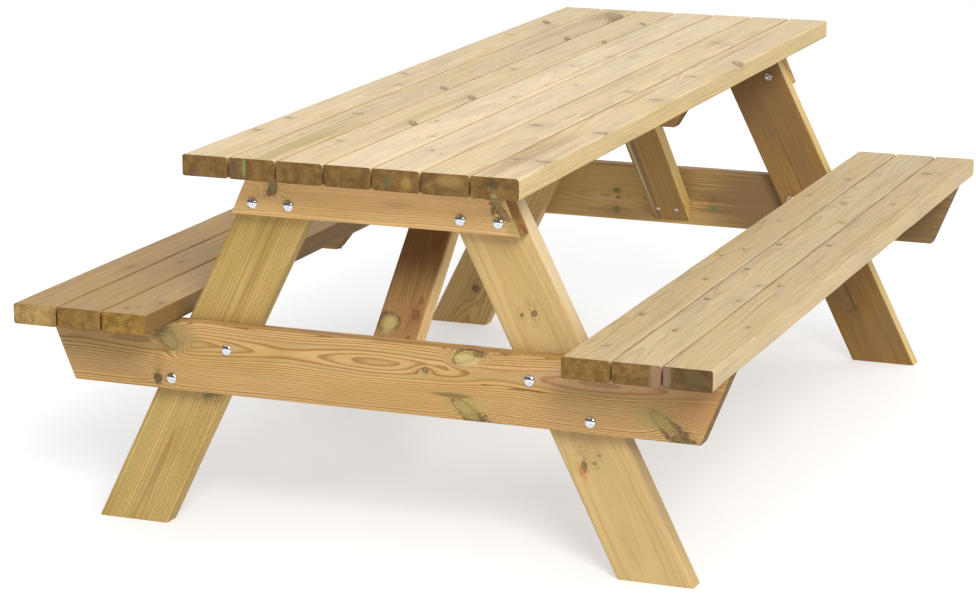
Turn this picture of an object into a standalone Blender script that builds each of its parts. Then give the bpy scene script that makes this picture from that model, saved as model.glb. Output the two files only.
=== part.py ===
"""Picnic table with two fixed benches, sawn from treated softwood planks.

The frame stands on four slanting legs.  X runs across the table, from the left
bench to the right bench, Y runs along the boards and Z points up.  The feet
stand on Z = 0 and the middle of the table is X = Y = 0.
"""

import math

import bmesh
import bpy
from mathutils import Vector

MM = 0.001

# Planks
PLANK_THICKNESS = 38 * MM
BOARD_WIDTH = 86.5 * MM
TOP_GAP = 3.25 * MM
BENCH_GAP = 2.75 * MM
WIDE_PLANK = 126 * MM
EDGE_ROUNDING = 3 * MM
EDGE_STEPS = 3
FIT = 0.3 * MM

# Table top and benches
TABLE_HEIGHT = 730 * MM
TOP_BOARDS = 7
TOP_LENGTH = 1934 * MM
BENCH_HEIGHT = 436 * MM
BENCH_BOARDS = 3
BENCH_LENGTH = 1950 * MM
BENCH_INNER_EDGE = 391 * MM

# End frames
FRAME_FACE = 858 * MM
FOOT_INNER_EDGE = 440 * MM
LEG_TOP_INNER_EDGE = 96 * MM
RAIL_HALF_AT_TOP = 236 * MM
RAIL_HALF_AT_BOTTOM = 275 * MM
BEARER_DEPTH = 128 * MM
BEARER_HALF_AT_TOP = 652 * MM
BEARER_HALF_AT_BOTTOM = 600 * MM

# Battens and braces at the middle
BATTEN_THICKNESS = 36 * MM
TOP_BATTEN_DEPTH = 40 * MM
TOP_BATTEN_HALF_AT_TOP = 298 * MM
TOP_BATTEN_HALF_AT_BOTTOM = 274 * MM
BENCH_BATTEN_DEPTH = 50 * MM
BENCH_BATTEN_HALF_AT_TOP = 107 * MM
BENCH_BATTEN_HALF_AT_BOTTOM = 68 * MM
BRACE_FOOT_HEIGHT = 278 * MM
BRACE_SLOPE = math.radians(45)

# Carriage bolts
BOLT_RADIUS = 4 * MM
HOLE_RADIUS = 4.5 * MM
HEAD_RADIUS = 10.3 * MM
HEAD_HEIGHT = 5 * MM
NECK_SIZE = 8 * MM
NECK_LENGTH = 5 * MM
NECK_POCKET = 8.8 * MM
NECK_POCKET_DEPTH = 6 * MM
THREAD_PAST_NUT = 4 * MM
NUT_SIZE = 13 * MM
NUT_HEIGHT = 6.5 * MM
NUT_BORE = 4.4 * MM
WASHER_RADIUS = 8.5 * MM
WASHER_THICKNESS = 1.6 * MM
ROUND_STEPS = 12

# Bolt centres for a leg, as distance from the middle of the table and height
RAIL_BOLTS = ((163 * MM, 627 * MM), (233 * MM, 627 * MM))
BEARER_BOLTS = ((290 * MM, 354 * MM), (402 * MM, 291 * MM))
BOLT_POINTS = RAIL_BOLTS + BEARER_BOLTS

# Sizes that follow from the ones above
BOARD_UNDERSIDE = TABLE_HEIGHT - PLANK_THICKNESS
BENCH_UNDERSIDE = BENCH_HEIGHT - PLANK_THICKNESS
TOP_FIXING_LEVEL = BOARD_UNDERSIDE - FIT
BENCH_FIXING_LEVEL = BENCH_UNDERSIDE - FIT
TOP_WIDTH = TOP_BOARDS * BOARD_WIDTH + (TOP_BOARDS - 1) * TOP_GAP
BENCH_WIDTH = BENCH_BOARDS * BOARD_WIDTH + (BENCH_BOARDS - 1) * BENCH_GAP
BENCH_MIDDLE = BENCH_INNER_EDGE + BENCH_WIDTH / 2
BEAM_INNER_FACE = FRAME_FACE - PLANK_THICKNESS + FIT
LEG_OUTER_FACE = FRAME_FACE - PLANK_THICKNESS
LEG_INNER_FACE = LEG_OUTER_FACE - PLANK_THICKNESS
LEG_LEAN = math.atan2(FOOT_INNER_EDGE - LEG_TOP_INNER_EDGE, BOARD_UNDERSIDE)

SIDES = (("left", -1), ("right", 1))
ENDS = (("front", -1), ("back", 1))

WOOD = (0.56, 0.38, 0.20)
ZINC = (0.72, 0.73, 0.75)


def clear_scene():
    """Remove every object of the start-up scene."""
    for item in list(bpy.data.objects):
        bpy.data.objects.remove(item, do_unlink=True)


def surface(name, colour, roughness, metallic):
    """Return a plain surface for one piece."""
    material = bpy.data.materials.new(name)
    material.use_nodes = True
    shader = material.node_tree.nodes["Principled BSDF"]
    shader.inputs["Base Color"].default_value = (*colour, 1.0)
    shader.inputs["Roughness"].default_value = roughness
    shader.inputs["Metallic"].default_value = metallic
    return material


def place(name, mesh):
    """Put a finished mesh into the scene under its own name."""
    item = bpy.data.objects.new(name, mesh)
    bpy.context.scene.collection.objects.link(item)
    return item


def rounded_section(width, depth):
    """Return the corner points of a plank's cross-section, long edges rounded."""
    radius = EDGE_ROUNDING
    points = []
    for quarter, (side, rise) in enumerate(((1, 1), (-1, 1), (-1, -1), (1, -1))):
        centre = (side * (width / 2 - radius), rise * (depth / 2 - radius))
        for step in range(EDGE_STEPS + 1):
            angle = math.radians(90 * (quarter + step / EDGE_STEPS))
            points.append((centre[0] + radius * math.cos(angle), centre[1] + radius * math.sin(angle)))
    return points


def plank(name, start, end, across, width, depth, cuts):
    """Make a plank from start to end and saw its ends off.

    The start and end points lie on the middle line of the plank.  The width
    is measured along the direction called across.  Each cut is a point on
    the saw plane and the direction of the side that falls away.
    """
    along = (end - start).normalized()
    face = along.cross(across)
    section = rounded_section(width, depth)
    shape = bmesh.new()
    loops = []
    for point in (start, end):
        loops.append([shape.verts.new(point + across * x + face * z) for x, z in section])
    count = len(section)
    for index in range(count):
        following = (index + 1) % count
        shape.faces.new((loops[0][index], loops[0][following], loops[1][following], loops[1][index]))
    shape.faces.new(loops[0])
    shape.faces.new(loops[1])
    for point, waste in cuts:
        parts = shape.verts[:] + shape.edges[:] + shape.faces[:]
        cut = bmesh.ops.bisect_plane(
            shape, geom=parts, plane_co=point, plane_no=waste, clear_outer=True, dist=1e-6
        )
        rim = [part for part in cut["geom_cut"] if isinstance(part, bmesh.types.BMEdge)]
        bmesh.ops.contextual_create(shape, geom=rim)
    bmesh.ops.recalc_face_normals(shape, faces=shape.faces[:])
    mesh = bpy.data.meshes.new(name)
    shape.to_mesh(mesh)
    shape.free()
    mesh.materials.append(surface(name, WOOD, 0.65, 0.0))
    return place(name, mesh)


def flat_board(name, middle, length, top):
    """Make one board of the table top or of a bench, lying along Y."""
    height = top - PLANK_THICKNESS / 2
    start = Vector((middle, -length / 2, height))
    end = Vector((middle, length / 2, height))
    return plank(name, start, end, Vector((1, 0, 0)), BOARD_WIDTH, PLANK_THICKNESS, ())


def row_of_boards(prefix, count, gap, first_edge, length, top):
    """Lay boards side by side, starting from the edge nearest to -X."""
    for index in range(count):
        middle = first_edge + BOARD_WIDTH / 2 + index * (BOARD_WIDTH + gap)
        flat_board(f"{prefix}_{index + 1}", middle, length, top)


def beam(name, centre, thickness, top, depth, half_at_top, half_at_bottom):
    """Make a beam along X on edge, its ends cut at a slant."""
    middle, place_along = centre
    half = max(half_at_top, half_at_bottom) + EDGE_ROUNDING
    height = top - depth / 2
    start = Vector((middle - half, place_along, height))
    end = Vector((middle + half, place_along, height))
    slope = (half_at_top - half_at_bottom) / depth
    cuts = []
    for side in (-1, 1):
        corner = Vector((middle + side * half_at_top, place_along, top))
        cuts.append((corner, Vector((side, 0, -slope)).normalized()))
    return plank(name, start, end, Vector((0, 1, 0)), thickness, depth, cuts)


def leg(name, side, end_side):
    """Make one slanting leg, cut level at the floor and under the boards."""
    half_width = WIDE_PLANK / 2 / math.cos(LEG_LEAN)
    place_along = end_side * (LEG_OUTER_FACE + LEG_INNER_FACE) / 2
    foot = Vector((side * (FOOT_INNER_EDGE + half_width), place_along, 0))
    head = Vector((side * (LEG_TOP_INNER_EDGE + half_width), place_along, BOARD_UNDERSIDE))
    along = (head - foot).normalized()
    across = Vector((0, 1, 0)).cross(along)
    cuts = (
        (Vector((0, 0, 0)), Vector((0, 0, -1))),
        (Vector((0, 0, TOP_FIXING_LEVEL)), Vector((0, 0, 1))),
    )
    start = foot - along * WIDE_PLANK
    end = head + along * WIDE_PLANK
    return plank(name, start, end, across, WIDE_PLANK, PLANK_THICKNESS, cuts)


def brace(name, end_side):
    """Make a brace that rises from a seat bearer to the table-top boards."""
    along = Vector((0, -end_side * math.cos(BRACE_SLOPE), math.sin(BRACE_SLOPE)))
    upward = Vector((0, end_side * math.sin(BRACE_SLOPE), math.cos(BRACE_SLOPE)))
    foot = Vector((0, end_side * LEG_OUTER_FACE, BRACE_FOOT_HEIGHT))
    foot += upward * PLANK_THICKNESS / 2
    rise = (TOP_FIXING_LEVEL - BRACE_FOOT_HEIGHT) / math.sin(BRACE_SLOPE)
    cuts = (
        (Vector((0, end_side * LEG_OUTER_FACE, 0)), Vector((0, end_side, 0))),
        (Vector((0, 0, TOP_FIXING_LEVEL)), Vector((0, 0, 1))),
    )
    start = foot - along * BOARD_WIDTH
    end = foot + along * (rise + BOARD_WIDTH)
    return plank(name, start, end, Vector((1, 0, 0)), BOARD_WIDTH, PLANK_THICKNESS, cuts)


def ring_points(size, corners):
    """Return a ring of points: round, or a polygon measured across its flats."""
    points = []
    for step in range(ROUND_STEPS):
        angle = 2 * math.pi * step / ROUND_STEPS
        reach = size
        if corners:
            sector = 2 * math.pi / corners
            reach = size / 2 / math.cos((angle % sector) - sector / 2)
        points.append((reach * math.cos(angle), reach * math.sin(angle)))
    return points


def stack(rings, closed):
    """Join rings into one body: capped at both ends, or closed back on itself."""
    shape = bmesh.new()
    loops = []
    for distance, size, corners in rings:
        loops.append([shape.verts.new((x, distance, z)) for x, z in ring_points(size, corners)])
    pairs = list(zip(loops, loops[1:]))
    if closed:
        pairs.append((loops[-1], loops[0]))
    for lower, upper in pairs:
        for index in range(ROUND_STEPS):
            following = (index + 1) % ROUND_STEPS
            shape.faces.new((lower[index], lower[following], upper[following], upper[index]))
    if not closed:
        shape.faces.new(loops[0])
        shape.faces.new(loops[-1])
    bmesh.ops.recalc_face_normals(shape, faces=shape.faces[:])
    return shape


def turned(name, rings, closed, point, end_side):
    """Make a round metal piece whose axis runs along Y, facing outward."""
    shape = stack(rings, closed)
    for vertex in shape.verts:
        x, y, z = vertex.co
        vertex.co = (point[0] + x, point[1] + end_side * y, point[2] + z)
    bmesh.ops.recalc_face_normals(shape, faces=shape.faces[:])
    if shape.calc_volume(signed=True) < 0:
        bmesh.ops.reverse_faces(shape, faces=shape.faces[:])
    for face in shape.faces:
        face.smooth = True
    mesh = bpy.data.meshes.new(name)
    shape.to_mesh(mesh)
    shape.free()
    mesh.set_sharp_from_angle(angle=math.radians(35))
    mesh.materials.append(surface(name, ZINC, 0.25, 1.0))
    return place(name, mesh)


def bolt_rings():
    """Return the rings of a carriage bolt, from the tip to the top of its head."""
    nut_face = -(2 * PLANK_THICKNESS + FIT + WASHER_THICKNESS + NUT_HEIGHT)
    tip = nut_face - THREAD_PAST_NUT
    rings = [
        (tip, BOLT_RADIUS - 1 * MM, 0),
        (tip + 1 * MM, BOLT_RADIUS, 0),
        (FIT - NECK_LENGTH - 1 * MM, BOLT_RADIUS, 0),
        (FIT - NECK_LENGTH, NECK_SIZE, 4),
        (FIT, NECK_SIZE, 4),
        (FIT, HEAD_RADIUS - 0.5 * MM, 0),
        (FIT + 0.8 * MM, HEAD_RADIUS, 0),
    ]
    dome_height = HEAD_HEIGHT - 0.8 * MM
    for step in range(1, 6):
        angle = math.radians(90 * step / 6)
        rings.append((FIT + 0.8 * MM + dome_height * math.sin(angle), HEAD_RADIUS * math.cos(angle), 0))
    return rings


def nut_rings():
    """Return the rings of a nut with its washer, from the leg face inward."""
    washer_face = -(2 * PLANK_THICKNESS + FIT)
    nut_seat = washer_face - WASHER_THICKNESS
    nut_face = nut_seat - NUT_HEIGHT
    return [
        (washer_face, NUT_BORE, 0),
        (washer_face, WASHER_RADIUS, 0),
        (nut_seat, WASHER_RADIUS, 0),
        (nut_seat, NUT_SIZE, 6),
        (nut_face + 1 * MM, NUT_SIZE, 6),
        (nut_face, NUT_SIZE / 2 - 0.5 * MM, 0),
        (nut_face, NUT_BORE, 0),
    ]


def fasteners():
    """Put a bolt and a nut at every crossing of a leg with a beam."""
    for end_name, end_side in ENDS:
        for side_name, side in SIDES:
            for number, (reach, height) in enumerate(BOLT_POINTS, start=1):
                point = (side * reach, end_side * FRAME_FACE, height)
                label = f"{end_name}_{side_name}_{number}"
                turned(f"bolt_{label}", bolt_rings(), False, point, end_side)
                turned(f"nut_{label}", nut_rings(), True, point, end_side)


def cutter(name, rings_for_end):
    """Make one hidden cutting tool with a body at every bolt."""
    whole = bmesh.new()
    for end_side in (-1, 1):
        for side in (-1, 1):
            for reach, height in BOLT_POINTS:
                body = stack(rings_for_end, False)
                for vertex in body.verts:
                    x, y, z = vertex.co
                    vertex.co = (side * reach + x, end_side * (FRAME_FACE + y), height + z)
                mesh = bpy.data.meshes.new("cutter_body")
                body.to_mesh(mesh)
                body.free()
                whole.from_mesh(mesh)
                bpy.data.meshes.remove(mesh)
    bmesh.ops.recalc_face_normals(whole, faces=whole.faces[:])
    mesh = bpy.data.meshes.new(name)
    whole.to_mesh(mesh)
    whole.free()
    tool = place(name, mesh)
    tool.hide_render = True
    tool.display_type = "WIRE"
    return tool


def drill(item, tool):
    """Cut the tool's shape out of a plank."""
    cut = item.modifiers.new(tool.name, "BOOLEAN")
    cut.operation = "DIFFERENCE"
    cut.solver = "EXACT"
    cut.object = tool


def end_frames():
    """Build both end frames and bore them for the bolts."""
    margin = 5 * MM
    holes = cutter("cut_bolt_holes", [
        (-2 * PLANK_THICKNESS - margin, HOLE_RADIUS, 0),
        (margin, HOLE_RADIUS, 0),
    ])
    pockets = cutter("cut_neck_pockets", [
        (-NECK_POCKET_DEPTH, NECK_POCKET, 4),
        (margin, NECK_POCKET, 4),
    ])
    beam_thickness = FRAME_FACE - BEAM_INNER_FACE
    for end_name, end_side in ENDS:
        centre = (0, end_side * (FRAME_FACE + BEAM_INNER_FACE) / 2)
        rail = beam(
            f"top_rail_{end_name}", centre, beam_thickness, TOP_FIXING_LEVEL, BOARD_WIDTH,
            RAIL_HALF_AT_TOP, RAIL_HALF_AT_BOTTOM,
        )
        bearer = beam(
            f"seat_bearer_{end_name}", centre, beam_thickness, BENCH_FIXING_LEVEL, BEARER_DEPTH,
            BEARER_HALF_AT_TOP, BEARER_HALF_AT_BOTTOM,
        )
        for item in (rail, bearer):
            drill(item, holes)
            drill(item, pockets)
        for side_name, side in SIDES:
            drill(leg(f"leg_{end_name}_{side_name}", side, end_side), holes)


def middle_pieces():
    """Build the battens under the boards and the two braces."""
    beam(
        "top_batten", (0, 0), BATTEN_THICKNESS, TOP_FIXING_LEVEL, TOP_BATTEN_DEPTH,
        TOP_BATTEN_HALF_AT_TOP, TOP_BATTEN_HALF_AT_BOTTOM,
    )
    for side_name, side in SIDES:
        beam(
            f"bench_batten_{side_name}", (side * BENCH_MIDDLE, 0), BATTEN_THICKNESS,
            BENCH_FIXING_LEVEL, BENCH_BATTEN_DEPTH,
            BENCH_BATTEN_HALF_AT_TOP, BENCH_BATTEN_HALF_AT_BOTTOM,
        )
    for end_name, end_side in ENDS:
        brace(f"brace_{end_name}", end_side)


def boards():
    """Lay the table top and both benches."""
    row_of_boards("top_board", TOP_BOARDS, TOP_GAP, -TOP_WIDTH / 2, TOP_LENGTH, TABLE_HEIGHT)
    for side_name, side in SIDES:
        first_edge = side * BENCH_MIDDLE - BENCH_WIDTH / 2
        row_of_boards(f"bench_board_{side_name}", BENCH_BOARDS, BENCH_GAP, first_edge, BENCH_LENGTH, BENCH_HEIGHT)


clear_scene()
boards()
end_frames()
middle_pieces()
fasteners()
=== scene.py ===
"""Picnic table in treated softwood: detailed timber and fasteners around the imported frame."""

import math
import random
from collections import namedtuple

import bmesh
import bpy
from bpy.props import FloatProperty, FloatVectorProperty, IntProperty, PointerProperty
from mathutils import Matrix, Vector, noise


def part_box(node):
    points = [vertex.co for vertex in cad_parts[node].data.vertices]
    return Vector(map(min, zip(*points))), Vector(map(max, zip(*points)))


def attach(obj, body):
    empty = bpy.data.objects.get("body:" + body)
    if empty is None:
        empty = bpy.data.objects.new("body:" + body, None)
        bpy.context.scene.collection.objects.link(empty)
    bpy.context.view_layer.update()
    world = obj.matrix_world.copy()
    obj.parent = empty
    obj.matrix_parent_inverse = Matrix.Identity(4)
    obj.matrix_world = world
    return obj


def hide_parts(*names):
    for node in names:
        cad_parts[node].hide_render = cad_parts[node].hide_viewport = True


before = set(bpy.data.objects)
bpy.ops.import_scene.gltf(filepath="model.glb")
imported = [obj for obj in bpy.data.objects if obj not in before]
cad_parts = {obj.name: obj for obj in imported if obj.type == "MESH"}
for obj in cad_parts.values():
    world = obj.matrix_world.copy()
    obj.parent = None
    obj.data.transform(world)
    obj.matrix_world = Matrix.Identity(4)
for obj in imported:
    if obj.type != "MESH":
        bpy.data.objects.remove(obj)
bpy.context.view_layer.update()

bl_info = {
    "name": "Picnic Table",
    "version": (1, 0, 0),
    "blender": (4, 5, 0),
    "location": "View3D > Sidebar > Picnic Table",
    "description": "Builds the planks, bolts and nuts of a picnic table around its packed frame",
    "category": "Add Mesh",
}

MM = 0.001
X_AXIS = Vector((1, 0, 0))
Y_AXIS = Vector((0, 1, 0))
Z_AXIS = Vector((0, 0, 1))
SIDES = (("left", -1), ("right", 1))
ENDS = (("front", -1), ("back", 1))

# M8 carriage bolt and nut.
SHANK_RADIUS = 4 * MM
NECK_SIZE = 8 * MM
HEAD_LIP = 0.7 * MM
THREAD_LENGTH = 26 * MM
THREAD_ROWS = 6
DOME_STEPS = 10
NUT_SIZE = 13 * MM
NUT_BORE = 4.15 * MM
WASHER_BORE = 4.4 * MM
WASHER_THICKNESS = 1.6 * MM
PLANK_THICKNESS = 38 * MM


# ---------------------------------------------------------------------------
# Settings
# ---------------------------------------------------------------------------

class TimberSizes(bpy.types.PropertyGroup):
    """Sizes of the planks that the frame's boxes don't give."""

    leg_width: FloatProperty(
        name="Leg width", description="Width of a leg plank across its grain",
        default=0.126, unit="LENGTH",
    )
    arris: FloatProperty(
        name="Arris radius", description="Rounding of the planks' long edges",
        default=0.0040, unit="LENGTH",
    )
    saw_arris: FloatProperty(
        name="Saw-cut arris", description="Rounding of the edges of a sawn end",
        default=0.0006, unit="LENGTH",
    )
    wear: FloatProperty(
        name="Wear", description="Depth of the dents along the planks' long edges", default=0.0011,
        unit="LENGTH",
    )
    unevenness: FloatProperty(
        name="Unevenness", description="How much the planed faces wave", default=0.00014, unit="LENGTH",
    )
    rail_slant: FloatProperty(
        name="Rail slant", description="How much shorter a top rail is at its top, at each end",
        default=0.039, unit="LENGTH",
    )
    bearer_slant: FloatProperty(
        name="Bearer slant", description="How much shorter a seat bearer is at its bottom, at each end",
        default=0.052, unit="LENGTH",
    )
    top_batten_slant: FloatProperty(
        name="Top batten slant", default=0.024, unit="LENGTH",
        description="How much shorter the top batten is at its bottom, at each end",
    )
    bench_batten_slant: FloatProperty(
        name="Bench batten slant", default=0.039, unit="LENGTH",
        description="How much shorter a bench batten is at its bottom, at each end",
    )
    station_spacing: FloatProperty(
        name="Station spacing", description="Distance between the cross-sections along a plank",
        default=0.05, unit="LENGTH",
    )


class FastenerSizes(bpy.types.PropertyGroup):
    """Sizes of the carriage bolts, nuts, washers and screws."""

    thread_pitch: FloatProperty(
        name="Thread pitch", description="Distance between two threads", default=0.00125, unit="LENGTH",
    )
    thread_depth: FloatProperty(
        name="Thread depth", description="Depth of the thread", default=0.0007, unit="LENGTH",
    )
    head_height: FloatProperty(
        name="Head height", description="Height of a bolt's dome head", default=0.005, unit="LENGTH",
    )
    round_steps: IntProperty(
        name="Round steps", description="Number of sides of a round piece", default=48, min=12,
    )
    screw_head: FloatProperty(
        name="Screw head", default=0.0046, unit="LENGTH",
        description="Radius of a countersunk screw head",
    )
    screw_setback: FloatProperty(
        name="Screw setback", description="Distance of a brace's screws from its foot", default=0.043,
        unit="LENGTH",
    )
    screw_spread: FloatProperty(
        name="Screw spread", description="Distance of a brace's screws from its middle", default=0.0215,
        unit="LENGTH",
    )


class WoodColours(bpy.types.PropertyGroup):
    """Colours of the treated softwood."""

    early: FloatVectorProperty(
        name="Earlywood", description="Pale wood grown in spring", subtype="COLOR", size=3,
        default=(0.695, 0.551, 0.34),
    )
    late: FloatVectorProperty(
        name="Latewood", description="Dark lines grown in late summer", subtype="COLOR", size=3,
        default=(0.35, 0.188, 0.058),
    )
    heart: FloatVectorProperty(
        name="Heartwood", description="Warmer wood near the pith", subtype="COLOR", size=3,
        default=(0.60, 0.36, 0.18),
    )
    treated: FloatVectorProperty(
        name="Treatment tint", subtype="COLOR", size=3,
        description="Olive tint left by the preservative",
        default=(0.43, 0.34, 0.12),
    )
    knot: FloatVectorProperty(
        name="Knot", description="Dark wood of a knot", subtype="COLOR", size=3,
        default=(0.185, 0.10, 0.034),
    )
    green_knot: FloatVectorProperty(
        name="Treated knot", description="Knot that has taken up preservative", subtype="COLOR", size=3,
        default=(0.34, 0.25, 0.08),
    )
    sawn_end: FloatVectorProperty(
        name="Sawn end", subtype="COLOR", size=3,
        description="Colour of a sawn end, dark with preservative",
        default=(0.198, 0.107, 0.025),
    )
    # Painted shade: this colour multiplies the undersides and the sides of the gaps between boards,
    # standing in for the shade there.
    painted_gap_shade: FloatVectorProperty(
        name="Hidden side", description="What the sides of a gap and the undersides are multiplied by",
        subtype="COLOR", size=3, default=(0.36, 0.28, 0.18),
    )


class MetalColours(bpy.types.PropertyGroup):
    """Colours of the fasteners."""

    zinc: FloatVectorProperty(
        name="Bright zinc", description="Bright zinc plating", subtype="COLOR", size=3,
        default=(0.74, 0.74, 0.76),
    )
    dull_zinc: FloatVectorProperty(
        name="Dull zinc", description="Zinc plating that has lost its shine", subtype="COLOR", size=3,
        default=(0.34, 0.33, 0.33),
    )


class StageSettings(bpy.types.PropertyGroup):
    """Floor, light and camera."""

    floor_colour: FloatVectorProperty(
        name="Floor", description="Colour of the studio floor", subtype="COLOR", size=3,
        default=(0.64, 0.64, 0.64),
    )
    floor_size: FloatProperty(
        name="Floor size", description="Side of the square floor", default=60.0, unit="LENGTH",
    )
    floor_glow: FloatProperty(
        name="Floor glow", default=0.62,
        description="Light that the floor gives off itself, to soften shadows",
    )
    sky_direction: FloatVectorProperty(
        name="Sky direction", description="Where the sky is brightest", subtype="DIRECTION", size=3,
        default=(0.25, 0.3, 0.92),
    )
    sky_low: FloatProperty(
        name="Low sky", description="Brightness of the sky at the horizon", default=0.16,
    )
    sky_high: FloatProperty(name="High sky", description="Brightness of the sky overhead", default=1.05)
    softbox_place: FloatVectorProperty(
        name="Softbox place", description="Where the softbox hangs", subtype="TRANSLATION", size=3,
        default=(5.2, -8.4, 6.5),
    )
    softbox_size: FloatProperty(
        name="Softbox size", description="Side of the square softbox", default=4.0, unit="LENGTH",
    )
    softbox_power: FloatProperty(
        name="Softbox power", description="Power of the softbox", default=900.0, unit="POWER",
    )
    lens: FloatProperty(
        name="Lens", default=109.48,
        description="Focal length of the camera, in millimetres on a 36 mm sensor",
    )
    camera_place: FloatVectorProperty(
        name="Camera place", description="Where the camera stands", subtype="TRANSLATION", size=3,
        default=(2.0381, -5.4744, 1.7005),
    )
    camera_turn: FloatProperty(
        name="Camera turn", description="Turn of the camera to the left of the table's length",
        subtype="ANGLE", default=math.radians(21.560),
    )
    camera_tilt: FloatProperty(
        name="Camera tilt", description="Tilt of the camera below level",
        subtype="ANGLE", default=math.radians(13.697),
    )
    camera_roll: FloatProperty(
        name="Camera roll", subtype="ANGLE", default=math.radians(-0.11),
        description="Roll of the camera",
    )


# ---------------------------------------------------------------------------
# Shader building
# ---------------------------------------------------------------------------

class Signal:
    """A node's output socket; arithmetic on it adds Math nodes to its tree."""

    def __init__(self, shader, socket):
        self.shader = shader
        self.socket = socket

    def math(self, operation, *others):
        """Add a Math node on this signal and any others."""
        return self.shader.node("ShaderNodeMath", {"operation": operation}, (self, *others))

    def after(self, operation, first):
        """Add a Math node whose first value is the other one."""
        return self.shader.node("ShaderNodeMath", {"operation": operation}, (first, self))

    def output(self, name):
        """Return another output of the same node."""
        return Signal(self.shader, self.socket.node.outputs[name])

    def __add__(self, other):
        return self.math("ADD", other)

    def __radd__(self, other):
        return self.after("ADD", other)

    def __sub__(self, other):
        return self.math("SUBTRACT", other)

    def __rsub__(self, other):
        return self.after("SUBTRACT", other)

    def __mul__(self, other):
        return self.math("MULTIPLY", other)

    def __rmul__(self, other):
        return self.after("MULTIPLY", other)

    def __truediv__(self, other):
        return self.math("DIVIDE", other)

    def __rtruediv__(self, other):
        return self.after("DIVIDE", other)

    def __abs__(self):
        return self.math("ABSOLUTE")


class Shader:
    """Builds the node tree of a material or a world."""

    def __init__(self, owner, main="Principled BSDF"):
        owner.use_nodes = True
        self.tree = owner.node_tree
        self.main = self.tree.nodes[main]

    def node(self, kind, settings=None, inputs=(), output=0):
        """Add a node: its settings first, then its sockets' values or links. Return one output."""
        made = self.tree.nodes.new(kind)
        for name, value in (settings or {}).items():
            setattr(made, name, value)
        pairs = inputs.items() if isinstance(inputs, dict) else enumerate(inputs)
        for key, value in pairs:
            self.feed(made.inputs[key], value)
        return Signal(self, made.outputs[output])

    def feed(self, socket, value):
        """Link a signal to a socket, or set the socket's value."""
        if isinstance(value, Signal):
            self.tree.links.new(value.socket, socket)
        elif hasattr(value, "__len__") and len(value) == 3 and len(socket.default_value) == 4:
            socket.default_value = (*value, 1.0)
        else:
            socket.default_value = value

    def set(self, name, value):
        """Set or link a socket of the tree's main node."""
        self.feed(self.main.inputs[name], value)

    def bump(self, height, strength, distance):
        """Feed a height to the surface's normal."""
        inputs = {"Strength": strength, "Distance": distance, "Height": height}
        self.set("Normal", self.node("ShaderNodeBump", None, inputs))

    def vector(self, operation, *values, output=0):
        """Add a Vector Math node."""
        return self.node("ShaderNodeVectorMath", {"operation": operation}, values, output)

    def scaled(self, vector, factor):
        """Scale a vector or a colour."""
        return self.node("ShaderNodeVectorMath", {"operation": "SCALE"}, {0: vector, "Scale": factor})

    def length(self, vector):
        """Measure a vector."""
        return self.vector("LENGTH", vector, output="Value")

    def mix(self, factor, first, second, blend="MIX"):
        """Mix two colours."""
        settings = {"data_type": "RGBA", "blend_type": blend, "clamp_factor": True}
        return self.node("ShaderNodeMix", settings, {0: factor, 6: first, 7: second}, 2)

    def noise(self, vector, scale=1.0, detail=2.0, roughness=0.5):
        """Noise in space, from 0 to 1."""
        inputs = {"Vector": vector, "Scale": scale, "Detail": detail, "Roughness": roughness}
        return self.node("ShaderNodeTexNoise", {"noise_dimensions": "3D"}, inputs)

    def noise_along(self, value, detail=1.0, output=0):
        """One-dimensional noise along a value."""
        inputs = {"W": value, "Scale": 1.0, "Detail": detail}
        return self.node("ShaderNodeTexNoise", {"noise_dimensions": "1D"}, inputs, output)

    def step(self, value, low, high, start=0.0, end=1.0):
        """Go smoothly from start to end as value goes from low to high."""
        settings = {"interpolation_type": "SMOOTHSTEP"}
        inputs = {"Value": value, "From Min": low, "From Max": high, "To Min": start, "To Max": end}
        return self.node("ShaderNodeMapRange", settings, inputs)


# ---------------------------------------------------------------------------
# Softwood
# ---------------------------------------------------------------------------

# A knot comes out of the plank's face: millimetres from the start end and from
# the low edge, its radius, how treated (green) it looks, from 0 to 1, and the
# step from the face to the branch's inner end. Without one it grows from the pith.
Knot = namedtuple("Knot", "along across radius green inner", defaults=(None,))

# A patch tints the wood around a point: millimetres from the start end and from
# the low edge, its reach along, across and into the plank, a colour, a strength
# and how far it lies below the face.
Patch = namedtuple("Patch", "along across reach colour strength depth", defaults=(0,))

# A check is a drying crack along the grain: where its middle is, its length
# and its width.
Check = namedtuple("Check", "along across length width")

# What a sawn end's colour is multiplied by where it has soaked up more, and in its dark rings.
SOAKED_TINT = (0.66, 0.6, 0.5)
END_RING_TINT = (0.42, 0.34, 0.26)
CRACK_COLOUR = (0.07, 0.035, 0.015)


class Grain:
    """How one plank was sawn out of its log, in millimetres."""

    def __init__(self, seed, **changes):
        chance = random.Random(seed)
        self.seed = seed * 7.31
        self.pith_across = chance.uniform(-30, 30)
        self.pith_depth = chance.uniform(25, 60)
        self.ring_width = chance.uniform(3.2, 4.6)
        self.wander = chance.uniform(8, 16)
        self.wave = (0.0, 400.0, 0.0)
        self.wobble = 2.4
        self.contrast = 0.5
        self.treated = 0.4
        self.tint = (1.0, 1.0, 1.0)
        self.end_tint = (1.0, 1.0, 1.0)
        # Painted light: the side tint multiplies the plank's sides, making them lighter or darker than
        # its faces as light and shade would.
        self.side_tint = (1.0, 1.0, 1.0)
        # Painted shade: shaded_sides lists the sides that face a gap, darkened more the deeper they go;
        # shade sets how strongly undersides and gap sides take the painted gap shade.
        self.shaded_sides = ()
        self.shade = 0.5
        self.blotches = 0.5
        self.knot_strength = 0.85
        self.knots = ()
        self.patches = ()
        self.end_patches = ()
        self.checks = ()
        for name, value in changes.items():
            setattr(self, name, value)


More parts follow.
